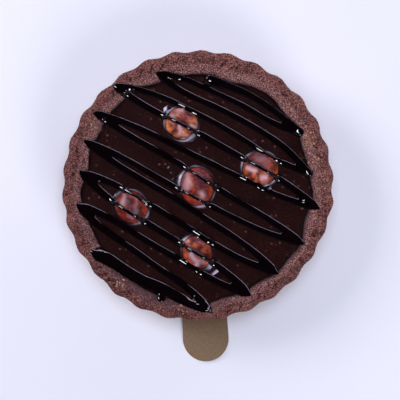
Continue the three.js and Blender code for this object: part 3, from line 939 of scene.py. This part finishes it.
def make_nut(nut, seed):
    x, y, length, width, turn, crease_depth = NUTS[nut]
    unit, faces = ball(NUT_DETAIL)
    wrinkle = rough_noise(unit * (2.2, 6, 6), 1.6, seed)
    crease = bell(unit[:, 1] / CREASE_HALF_WIDTH) * np.maximum(0, unit[:, 2])
    lobes = smooth_noise(unit * (1, 1.5, 1.5), 0.9, seed + 5)
    shape = 1 + NUT_WRINKLE * wrinkle + NUT_LOBE * lobes - crease_depth * crease
    local = unit * (length / 2, width / 2, NUT_HALF_HEIGHT) * shape[:, None]
    away = spun(local, math.radians(turn))
    upper = smoothstep(0, 0.3, unit[:, 2])
    fold_shade, painted_sheen, painted_shade = np.zeros((3, len(unit)))
    for line, half_width, depth in NUT_FOLDS[nut]:
        cut = streak(*away.T[:2], line, half_width) * upper
        away = away * (1 - cut * depth / NUT_HALF_HEIGHT)[:, None]
        fold_shade = np.maximum(fold_shade, cut * min(1, depth / 0.6))
    patches = rough_noise(away, 3.2, seed + 9, 2)
    ragged = 1 + 0.4 * patches + 0.35 * rough_noise(away, 1.3, seed + 13, 2)
    # painted glow, stronger on the kernel's sides and in the listed spots
    side = smoothstep(0.8, 0.45, unit[:, 2])
    painted_glow = 0.22 * side * (0.7 + 0.6 * patches) + 0.1 * np.clip(patches, 0, 1)
    at_x, at_y = away.T[:2]
    for glow_x, glow_y, radius, strength in NUT_PAINTED_GLOWS[nut]:
        off = np.hypot(at_x - glow_x, at_y - glow_y) / radius
        painted_glow = painted_glow + strength * bell(off * ragged) * (0.85 + 0.5 * patches)
    # painted sheen
    for line, half_width, strength in NUT_PAINTED_SHEEN[nut]:
        painted_sheen = painted_sheen + 0.85 * strength * streak(at_x, at_y, line, half_width, ragged)
    for line, half_width, strength in NUT_PAINTED_SHADE[nut]:
        painted_shade = np.maximum(painted_shade, strength * streak(at_x, at_y, line, half_width, ragged))
    # painted shade round the kernel's foot, where it meets the glaze
    fold_shade = np.maximum(fold_shade, smoothstep(0.41, 0.34, unit[:, 2]))
    values = {
        "fold_shade": 0.8 * fold_shade, "painted_glow": np.clip(painted_glow, 0, 1),
        "painted_sheen": np.clip(painted_sheen * upper, 0, 1), "painted_shade": painted_shade * upper,
    }
    material = nut_material(nut + "_skin", turn, *NUT_COLOURS[nut])
    points = away + (x, y, NUT_CENTRE_LEVEL)
    make_piece(nut + "_kernel", points, faces, material, "glazed_hazelnut", [nut], values)


# ---- glaze round the nuts

GLAZE_STEPS = 144
GLAZE_ROWS = 14

# Painted reflection of the lamps on a nut's glaze: degrees round the nut, half spread, strength.
GLAZE_GLEAMS = {
    "nut_1": [(132, 16, 0.8), (174, 15, 0.9), (-62, 34, 1), (72, 18, 0.2)],
    "nut_2": [(156, 27, 0.75), (182, 14, 0.6), (-80, 14, 0.75), (-28, 13, 0.35), (98, 12, 0.25)],
    "nut_3": [(166, 15, 0.7), (134, 14, 0.35), (-72, 14, 0.45), (-45, 12, 0.55), (60, 18, 0.2)],
    "nut_4": [(132, 16, 0.35), (-48, 18, 1), (-26, 12, 0.6), (82, 22, 0.25), (-74, 10, 0.3)],
    "nut_5": [(136, 15, 0.95), (166, 12, 0.3), (-46, 12, 0.7), (-88, 12, 0.6)],
}
GLAZE_GLEAM_PLACE = 0.72  # how far up the climb the painted reflection sits
GLAZE_GLEAM_SPREAD = 0.25

# Section of the glaze: its least thickness on the kernel, how far its edge stands up, the share of
# its reach and climb where it bends, and its closing points, as out and up. Those inside are from
# the top of the climb, and those of the underside from the kernel's foot and the outer edge.
GLAZE_LIP = 0.14
GLAZE_EDGE_RISE = 0.02
GLAZE_CORNER = (0.45, 0.12)
GLAZE_INSIDE = [(0.4 * GLAZE_LIP, 0.02), (-0.02, -0.16), (-0.3, -0.4)]
GLAZE_UNDERSIDE = [(-0.5, -0.4), (-0.1, -0.25)]

# Where a nut's glaze reaches further: degrees round the nut, extra reach, extra climb, half spread.
GLAZE_LOBES = {
    "nut_1": [(137, 1.6, 0.8, 14), (-50, 0.5, 1.9, 24), (60, 0.4, 0.2, 25)],
    "nut_2": [(160, 0.4, 0.3, 30), (-80, 0.4, 0.5, 18)],
    "nut_3": [(-72, 1.4, 0.5, 14), (150, 0.6, 0.2, 20), (-30, 0.4, 0.2, 20)],
    "nut_4": [(-40, 0.6, 0.6, 28), (135, 0.4, 0.4, 25)],
    "nut_5": [(-47, 2.8, 1, 13), (135, 0.5, 0.3, 18)],
}


def nut_radius_at(nut, angle, level):
    """Radius of a nut's outline at an angle round it and a height."""
    _, _, length, width, turn, _ = NUTS[nut]
    rise = np.clip((level - NUT_CENTRE_LEVEL) / NUT_HALF_HEIGHT, -1, 1)
    a = angle - math.radians(turn)
    widest = 1 / np.hypot(2 * np.cos(a) / length, 2 * np.sin(a) / width)
    return widest * np.sqrt(1 - rise**2)


def make_glaze(nut, seed, material):
    """A ring of glaze: its top row by row from the filling up the kernel, then back underneath."""
    x, y = NUTS[nut][:2]
    angle = full_turn(GLAZE_STEPS)
    uneven = smooth_noise(on_ring(4, angle, 0), 3.2, seed)
    reach = GLAZE_REACH * (1 + 0.3 * uneven)
    climb = GLAZE_CLIMB * (1 + 0.2 * np.roll(uneven, 37))
    for centre, more_reach, more_climb, spread in GLAZE_LOBES[nut]:
        lobe = sector(angle, centre, spread)
        reach, climb = reach + more_reach * lobe, climb + more_climb * lobe
    top = FILLING_LEVEL + climb
    inner = nut_radius_at(nut, angle, top)
    foot = nut_radius_at(nut, angle, FILLING_LEVEL)
    outer = foot + reach
    corner_share, corner_climb = GLAZE_CORNER
    corner = mix(foot, outer, corner_share), FILLING_LEVEL + corner_climb * climb
    climbed = np.linspace(0, 1, GLAZE_ROWS)
    rows = []
    for t in climbed:
        radius = bent(t, outer, corner[0], inner + GLAZE_LIP)
        level = bent(t, FILLING_LEVEL + GLAZE_EDGE_RISE, corner[1], top)
        rows.append((np.maximum(radius, nut_radius_at(nut, angle, level) + GLAZE_LIP), level))
    rows += [(inner + out, top + up) for out, up in GLAZE_INSIDE]
    for radius, (out, up) in zip((foot, outer), GLAZE_UNDERSIDE):
        rows.append((radius + out, FILLING_LEVEL + up))
    rings = np.array([on_ring(radius, angle, level) for radius, level in rows]) + (x, y, 0)
    # painted reflection of the lamps on the glaze, in crescents round the nut
    painted_gleam = np.zeros(GLAZE_STEPS)
    for centre, spread, strength in GLAZE_GLEAMS[nut]:
        painted_gleam = np.maximum(painted_gleam, strength * sector(angle, centre, spread))
    band = bell((climbed - GLAZE_GLEAM_PLACE) / GLAZE_GLEAM_SPREAD)
    band = np.concatenate([band, np.zeros(len(rows) - GLAZE_ROWS)])
    values = {"painted_gleam": np.outer(band, painted_gleam * (1 + 0.3 * uneven))}
    points = rings.reshape(-1, 3)
    faces = (ring_faces(len(rows) + 1, GLAZE_STEPS) % len(points)).tolist()
    make_piece(nut + "_glaze", points, faces, material, "clear_glaze", values=values)


# Drops of glaze that fell on the filling: place, radius, height, how strong its painted highlight is,
# and degrees round the drop to the side where the highlight is painted.
GLAZE_DROPS = [
    (-10.4, 6.6, 0.9, 0.3, 0.06, 150), (-9.6, 4.6, 0.7, 0.3, 0.05, 150),
    (-8.8, 2.2, 0.9, 0.28, 0.08, 150), (-11, 28.3, 1.5, 0.55, 1, 175),
    (-11.9, 27.4, 0.8, 0.45, 0.9, 200), (23.5, -0.7, 0.9, 0.6, 0.9, 160),
    (25.8, -0.8, 1.5, 0.6, 0.6, -40), (6, -31.1, 1.7, 0.7, 1, -50),
    (-24.9, 4.2, 0.7, 0.25, 0.06, 150),
]
GLEAM_TURN = 0.7  # how far round its side a drop's painted highlight reaches, as a cosine
DROP_SEED = 450


def make_glaze_drops(material):
    unit, triangles = ball(4)
    bodies, painted_gleam = [], []
    for number, (x, y, radius, height, gleam_strength, way) in enumerate(GLAZE_DROPS):
        uneven = 1 + 0.25 * smooth_noise(unit * 2 + 9 * number, 1.6, DROP_SEED)
        bodies.append(unit * (radius, radius, height) * uneven[:, None] + (x, y, FILLING_LEVEL))
        # painted highlight on the side of each drop that faces a lamp
        side = math.radians(way)
        facing = unit[:, 0] * math.cos(side) + unit[:, 1] * math.sin(side)
        painted_gleam.append(gleam_strength * smoothstep(0.1, GLEAM_TURN, facing) * smoothstep(0, 0.3, unit[:, 2]))
    points, faces = joined(bodies, triangles)
    values = {"painted_gleam": np.concatenate(painted_gleam)}
    make_piece("glaze_drops", points, faces, material, "clear_glaze", values=values)


# ---- drizzle

GRID_TURN = math.radians(-29)  # the way most strokes run
GRID_ALONG = 0.42
GRID_ACROSS = 0.2
GRID_HALF = 52
BLEND = 4  # how firmly two strokes keep apart before they flow together
SEGMENT = 0.5
FIELD_REACH = 4.5  # how far from a stroke its strength is worked out
FAR = 40  # a share of the width, squared, past which a stroke has no strength
RISE_SIDES = (-0.75, -0.4, 0, 0.4, 0.75)  # where a nut under the line lifts it, across the line
RISE_BLUR = 1.1  # how far along it the line smooths its climb onto a nut
RISE_STEPS = 7
LINE_UNEVEN = 0.07
LINE_SINKS = 0.12  # how far the line's underside goes into what it lies on


def stroke_line(index):
    """Points along a stroke, the line's half width and how far a nut lifts it at each."""
    x0, y0, bow, twist, wide = TURNS[index]
    x1, y1 = TURNS[index + 1][:2]
    length = math.hypot(x1 - x0, y1 - y0)
    share = np.linspace(0, 1, int(length / SEGMENT) + 1)
    hook = TURN_HOOK * np.sign(x0 - x1) * (index > 0)
    sideways = (
        bow * np.sin(math.pi * share) + twist * np.sin(TAU * share) + hook * np.sin(2 * TAU * share)
    )
    left = np.array([-(y1 - y0), x1 - x0]) / length
    line = np.array([x0, y0]) + np.outer(share, [x1 - x0, y1 - y0]) + np.outer(sideways, left)
    from_end = np.minimum(share, 1 - share) * length
    from_tip = (1 - share) * length if index == 0 else from_end
    swell = 1 + POOL_SWELL * bell(from_end / POOL_REACH)
    if index == 0:
        swell = swell + FIRST_BLOB_SWELL * np.exp(-share * length / POOL_REACH)
    if index == len(TURNS) - 2:
        swell = swell + LAST_STROKE_SWELL * smoothstep(*LAST_STROKE_THICKENS, share)
    turn = np.where(share < 0.5, index, index + 1)
    tip = np.where(np.isin(turn, BLUNT_TURNS), BLUNT_TIP_SHARE, TIP_SHARE)
    swell = swell * mix(tip, 1, np.clip(from_tip / TIP_REACH, 0, 1))
    flat = np.column_stack([line, np.full(len(line), 7.0 * index)])
    swell = swell * (1 + LINE_UNEVEN * smooth_noise(flat, size=5, seed=101))
    for nut in NUTS:
        on_nut = smoothstep(1.05, 0.85, nut_share(nut, line[:, 0], line[:, 1]))
        swell = swell * mix(1, NUT_LINE_SHARE, on_nut)
    half_width = swell * wide * LINE_HALF_WIDTH
    rise = np.zeros(len(line))
    for side in RISE_SIDES:
        x, y = (line + np.outer(side * half_width, left)).T
        rise = np.maximum(rise, ground_at(x, y) - bare_ground_at(x, y))
    rise = np.maximum.reduce([np.roll(rise, step) for step in (-1, 0, 1)])
    steps = np.arange(-RISE_STEPS, RISE_STEPS + 1)
    kernel = np.exp(-0.5 * (steps * SEGMENT / RISE_BLUR) ** 2)
    rise = np.convolve(np.pad(rise, RISE_STEPS, "edge"), kernel / kernel.sum(), "valid")
    return line, half_width, rise


def drizzle_grid():
    along = np.arange(-GRID_HALF, GRID_HALF, GRID_ALONG)
    across = np.arange(-GRID_HALF, GRID_HALF, GRID_ACROSS)
    return turned(*np.meshgrid(along, across, indexing="ij"), GRID_TURN)


def grid_window(middle):
    """The part of the grid near a place."""
    u, v = turned(middle[0], middle[1], -GRID_TURN)
    window = []
    for place, step in ((u, GRID_ALONG), (v, GRID_ACROSS)):
        index, reach = (place + GRID_HALF) / step, FIELD_REACH / step
        window.append(slice(max(0, int(index - reach)), int(index + reach) + 1))
    return tuple(window)


def stroke_field(index, x, y):
    """Distance from a stroke against its half width, squared, that half width and its rise."""
    line, half_width, rise = stroke_line(index)
    share = np.full(x.shape, 1e3)
    width = np.full(x.shape, LINE_HALF_WIDTH)
    lift = np.zeros(x.shape)
    for k in range(len(line) - 1):
        window = grid_window((line[k] + line[k + 1]) / 2)
        t, distance = from_segment(x[window], y[window], line[k], line[k + 1])
        local = mix(half_width[k], half_width[k + 1], t)
        found = (distance / local) ** 2
        closer = found < share[window]
        climb = mix(rise[k], rise[k + 1], t)
        for kept, new in ((share, found), (width, local), (lift, climb)):
            kept[window] = np.where(closer, new, kept[window])
    return share, width, lift


def drizzle_field(x, y):
    """Log of the strokes' summed strength, 0 on the outline, the half width and the rise on nuts."""
    strength, width_sum, rise_sum = np.zeros((3, *x.shape))
    parts = [stroke_field(index, x, y) for index in range(len(TURNS) - 1)]
    parts += [(((x - px) ** 2 + (y - py) ** 2) / radius**2, radius, 0) for px, py, radius in DROPS]
    for share, width, lift in parts:
        here = np.exp(-BLEND * (np.minimum(share, FAR) - 1))
        strength += here
        width_sum += here * width
        rise_sum += here * lift
    total = np.maximum(strength, 1e-12)
    return np.log(total), width_sum / total, rise_sum / total


def outlined_cells(field):
    """The part of a grid where field is above 0: grid points and outline points as (i, j) places,
    and faces between them that turn anticlockwise."""
    inside = field > 0
    points, faces, index = [], [], {}

    def point(*ends):
        """A corner, or the place between two corners where the outline runs."""
        a, b = min(ends), max(ends)
        if (a, b) not in index:
            index[a, b] = len(points)
            t = 0
            if a != b:
                t = min(0.98, max(0.02, field[a] / (field[a] - field[b])))
            points.append((a[0] + t * (b[0] - a[0]), a[1] + t * (b[1] - a[1])))
        return index[a, b]

    some = inside[:-1, :-1] | inside[1:, :-1] | inside[:-1, 1:] | inside[1:, 1:]
    for i, j in np.argwhere(some).tolist():
        corners = [(i, j), (i + 1, j), (i + 1, j + 1), (i, j + 1)]
        face = []
        for here, after in zip(corners, corners[1:] + corners[:1]):
            if inside[here]:
                face.append(point(here))
            if inside[here] != inside[after]:
                face.append(point(here, after))
        faces.append(face)
    return np.array(points), faces


def sampled(field, places):
    """Values of a grid at places between its points."""
    i, j = places[:, 0], places[:, 1]
    i0 = np.clip(np.floor(i).astype(int), 0, field.shape[0] - 2)
    j0 = np.clip(np.floor(j).astype(int), 0, field.shape[1] - 2)
    s, t = i - i0, j - j0
    near = mix(field[i0, j0], field[i0 + 1, j0], s)
    far = mix(field[i0, j0 + 1], field[i0 + 1, j0 + 1], s)
    return mix(near, far, t)


def make_drizzle():
    x, y = drizzle_grid()
    strength, width, rise = drizzle_field(x, y)
    thick = np.clip(strength / BLEND, 0, None)
    height = LINE_HEIGHT * (width / LINE_HALF_WIDTH) ** 0.8 * thick**0.6
    places, faces = outlined_cells(strength)
    at_x, at_y = sampled(x, places), sampled(y, places)
    at_ground = ground_at(at_x, at_y)
    on_outline = (places % 1).sum(1) > 0
    at_height = np.where(on_outline, 0, sampled(height, places))
    full = np.clip(at_height / (0.5 * LINE_HEIGHT), 0, 1)
    for bead_x, bead_y, radius, swell in BEADS:
        away = np.hypot(at_x - bead_x, at_y - bead_y) / radius
        at_height = at_height + full * swell * bell(away)
    level = bare_ground_at(at_x, at_y) + sampled(rise, places)
    level = level + SETTLE * bell(rim_share(at_x, at_y) / SETTLE_REACH)
    top = mix(at_ground, np.maximum(at_ground, level), full) + at_height
    bottom = at_ground - LINE_SINKS * full
    inner = np.where(~on_outline)[0]
    lower_index = np.arange(len(places))
    lower_index[inner] = len(places) + np.arange(len(inner))
    upper, lower = (np.column_stack([at_x, at_y, side]) for side in (top, bottom))
    points = np.concatenate([upper, lower[inner]])
    faces += [lower_index[face[::-1]].tolist() for face in faces]
    make_piece("chocolate_line", points, faces, drizzle_material(), "chocolate_drizzle")


# ---- crumbs

LOOSE_CRUMBS = 300
# Pale crumbs: degrees round the rim, share of its width, and how many lie there.
PALE_CLUSTERS = [
    (93, 0.45, 14), (22, 0.4, 70), (11, 0.35, 24), (3, 0.6, 20), (211, 0.3, 34), (231, 0.45, 34),
    (263, 0.5, 16), (150, 0.4, 14),
]
PALE_SPREAD = (0.04, 0.18)  # radians round the rim and share of its width
# Both kinds of crumb: how far above the rim their middles are, seed, darkest and palest colour.
CRUMBS = {
    "loose_crumb": (0.06, 6, (0.1, 0.045, 0.04), (0.19, 0.09, 0.075)),
    "pale_crumb": (0.05, 7, (0.27, 0.11, 0.06), (0.58, 0.32, 0.18)),
}


def crumb_points(unit, centre, size, draws):
    squash = 0.6 + 0.6 * draws.random(3)
    lumps = 1 + 0.35 * (draws.random(len(unit)) - 0.5)
    body = unit * squash * size / 2 * lumps[:, None]
    return spun(body, draws.random() * TAU) + centre


def scatter_crumbs(name, angle, share, sizes):
    """A piece of crumbs on the rim, at angles and shares of its width."""
    lift, seed, *colours = CRUMBS[name]
    draws = np.random.default_rng(seed)
    unit, triangles = ball(2)
    radius = mix(edge_radius_at(angle), lip_radius_at(angle), share)
    places = on_ring(radius, angle, TART_HEIGHT - rim_drop(share) + lift)
    bodies = [crumb_points(unit, *crumb, draws) for crumb in zip(places, sizes)]
    material = crumb_material(name, *colours)
    make_piece(name + "s", *joined(bodies, triangles), material, "cocoa_crust")


def make_crumbs():
    draws = np.random.default_rng(5)
    angle = draws.random(LOOSE_CRUMBS) * TAU
    share = 0.42 + 0.56 * draws.random(LOOSE_CRUMBS)
    sizes = 0.3 + 0.55 * draws.random(LOOSE_CRUMBS) ** 2
    scatter_crumbs("loose_crumb", angle, share, sizes)
    round_rim, across_rim = PALE_SPREAD
    angle = np.concatenate([
        math.radians(middle) + draws.normal(0, round_rim, count) for middle, _, count in PALE_CLUSTERS
    ])
    share = np.concatenate([
        np.clip(draws.normal(middle, across_rim, count), 0.05, 0.98)
        for _, middle, count in PALE_CLUSTERS
    ])
    sizes = 0.3 + 0.5 * draws.random(len(angle)) ** 2
    scatter_crumbs("pale_crumb", angle, share, sizes)


# ---- stage, lights and camera

FLOOR_HALF = 1.5  # metres


def make_floor():
    look = Look("floor_paper")
    greys = {0.3: (0.905, 0.905, 0.905), 0.7: (0.925, 0.925, 0.92)}
    material = look.shade({
        "Base Color": look.ramp(look.noise(60, 2), greys),
        "Roughness": 0.9,
        "Specular IOR Level": 0.1,
    })
    corners = [(x * FLOOR_HALF, y * FLOOR_HALF, 0) for x, y in ((-1, -1), (1, -1), (1, 1), (-1, 1))]
    floor = add_mesh("floor", corners, [(0, 1, 2, 3)], material)


def make_light(name, azimuth, elevation, distance, size, radiance, colour, lit):
    """A soft box that faces the tart."""
    lamp = bpy.data.lights.new(name, "AREA")
    lamp.shape = "RECTANGLE"
    lamp.size, lamp.size_y = size
    lamp.energy = radiance * math.pi * size[0] * size[1]
    lamp.color = colour
    light = add_object(name, lamp)
    a, e = math.radians(azimuth), math.radians(elevation)
    way = (math.cos(e) * math.cos(a), math.cos(e) * math.sin(a), math.sin(e))
    light.location = [distance * part for part in way]
    light.rotation_euler = (math.pi / 2 - e, 0, a + math.pi / 2)
    light.visible_glossy = lit != "matt"
    light.visible_diffuse = lit != "gloss"


# Lights: azimuth from +X to +Y, elevation, distance, size, brightness, colour, and which part of
# each surface they light. Each big soft box has a narrower bright lamp that shows in the gloss.
LIGHTS = {
    "soft_box_west": (152, 36, 0.9, (0.4, 0.4), 7.9, (0.93, 0.89, 1), "matt"),
    "glint_west": (152, 42, 0.88, (0.12, 0.5), 36, (0.96, 0.94, 1), "gloss"),
    "soft_box_south": (-63, 36, 0.9, (0.4, 0.4), 6.6, (0.93, 0.89, 1), "matt"),
    "glint_south": (-63, 36, 0.88, (0.12, 0.24), 44, (0.96, 0.94, 1), "gloss"),
    "window": (66, 16, 0.6, (0.96, 0.11), 6, (0.92, 0.88, 1), "matt"),
    "window_strip": (66, 16, 0.58, (0.93, 0.12), 9, (0.86, 0.74, 1), "gloss"),
    "overhead": (84, 82, 1.3, (0.5, 0.5), 10.9, (0.7, 0.76, 1), "matt"),
}
# Three dim walls round the tart, alike but for their azimuths.
for wall_name, wall_azimuth in {"wall_west": 180, "wall_south": -90, "wall_east": 0}.items():
    LIGHTS[wall_name] = (wall_azimuth, 12, 1.2, (2.4, 0.5), 0.3, (0.8, 0.8, 1), "both")


def make_world():
    world = bpy.data.worlds.new("room")
    world.use_nodes = True
    background = world.node_tree.nodes["Background"]
    background.inputs["Color"].default_value = (0.7, 0.7, 1, 1)
    background.inputs["Strength"].default_value = 0.02
    bpy.context.scene.world = world


CAMERA_PLACE = (0.83, -5.23)
CAMERA_ABOVE_RIM = 614
CAMERA_LENS = 100
CAMERA_SENSOR = 24


def make_camera():
    data = bpy.data.cameras.new("camera")
    data.lens, data.sensor_width = CAMERA_LENS, CAMERA_SENSOR
    data.clip_start, data.clip_end = 0.01, 20
    camera = add_object("camera", data)
    height = TART_BASE + TART_HEIGHT + CAMERA_ABOVE_RIM
    camera.location = (CAMERA_PLACE[0] * MM, CAMERA_PLACE[1] * MM, height * MM)
    bpy.context.scene.camera = camera


# ---- the tart

NUT_SEED = 200
GLAZE_SEED = 400
SEED_STEP = 20

make_crust()
make_filling()
for number, nut_name in enumerate(NUTS):
    make_nut(nut_name, NUT_SEED + SEED_STEP * number)
glaze = glaze_material()
for number, nut_name in enumerate(NUTS):
    make_glaze(nut_name, GLAZE_SEED + SEED_STEP * number, glaze)
make_glaze_drops(glaze)
make_drizzle()
make_crumbs()

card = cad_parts["pull_tab_card"]
card.data.materials.clear()
card.data.materials.append(gold_card_material())

make_floor()
for name, values in LIGHTS.items():
    make_light(name, *values)
make_world()
make_camera()

view = bpy.context.scene.view_settings
view.view_transform = "Standard"
view.look = "None"
